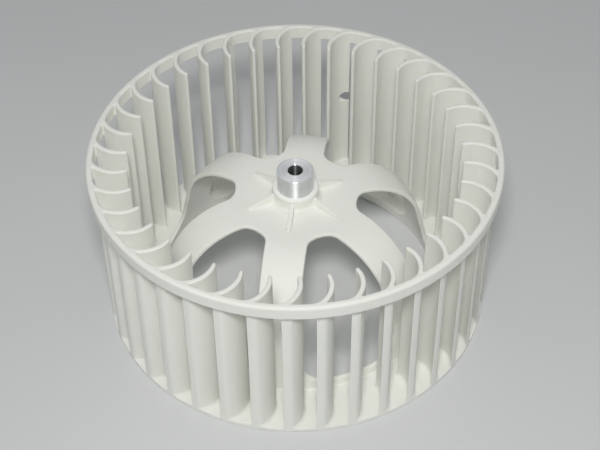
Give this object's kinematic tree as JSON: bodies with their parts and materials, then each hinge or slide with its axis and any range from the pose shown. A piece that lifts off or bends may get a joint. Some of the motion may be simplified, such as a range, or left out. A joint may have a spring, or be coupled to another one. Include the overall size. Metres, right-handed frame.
{
  "type": "blower wheel",
  "caption": "Forward-curved centrifugal blower wheel: a moulded cage of blades with a domed spider and a metal hub that a set screw clamps to a motor shaft.",
  "frame": {"origin": "centre of the wheel's back face, on the bore axis", "axes": "+Z along the bore axis, from the motor side towards the air inlet; +X lies 3.2 degrees clockwise, seen from the inlet, of the first blade's inner tip"},
  "size_m": [0.221, 0.221, 0.102],
  "materials": {
    "moulded_plastic": "smooth moulded, soft sheen, cream white",
    "hub_aluminium": "fine turned, polished end face",
    "screw_steel": "black oxide"
  },
  "bodies": {
    "wheel": {"inlet_ring": "moulded_plastic", "blade_01": "moulded_plastic", "blade_02": "moulded_plastic", "blade_03": "moulded_plastic", "blade_04": "moulded_plastic", "blade_05": "moulded_plastic", "blade_06": "moulded_plastic", "blade_07": "moulded_plastic", "blade_08": "moulded_plastic", "blade_09": "moulded_plastic", "blade_10": "moulded_plastic", "blade_11": "moulded_plastic", "blade_12": "moulded_plastic", "blade_13": "moulded_plastic", "blade_14": "moulded_plastic", "blade_15": "moulded_plastic", "blade_16": "moulded_plastic", "blade_17": "moulded_plastic", "blade_18": "moulded_plastic", "blade_19": "moulded_plastic", "blade_20": "moulded_plastic", "blade_21": "moulded_plastic", "blade_22": "moulded_plastic", "blade_23": "moulded_plastic", "blade_24": "moulded_plastic", "blade_25": "moulded_plastic", "blade_26": "moulded_plastic", "blade_27": "moulded_plastic", "blade_28": "moulded_plastic", "blade_29": "moulded_plastic", "blade_30": "moulded_plastic", "blade_31": "moulded_plastic", "blade_32": "moulded_plastic", "blade_33": "moulded_plastic", "blade_34": "moulded_plastic", "blade_35": "moulded_plastic", "blade_36": "moulded_plastic", "blade_37": "moulded_plastic", "blade_38": "moulded_plastic", "blade_39": "moulded_plastic", "back_plate": "moulded_plastic", "spider": "moulded_plastic", "hub_boss": "moulded_plastic", "rib_1": "moulded_plastic", "rib_2": "moulded_plastic", "rib_3": "moulded_plastic", "rib_4": "moulded_plastic", "rib_5": "moulded_plastic", "rib_6": "moulded_plastic", "hub_insert": "hub_aluminium"},
    "screw": {"set_screw": "screw_steel"}
  },
  "joints": [
    {"name": "set_screw_travel", "type": "slide", "parent": "wheel", "child": "screw", "axis": [0.2756, 0.9613, 0], "range_m": [-0.0007, 0.005]}
  ]
}
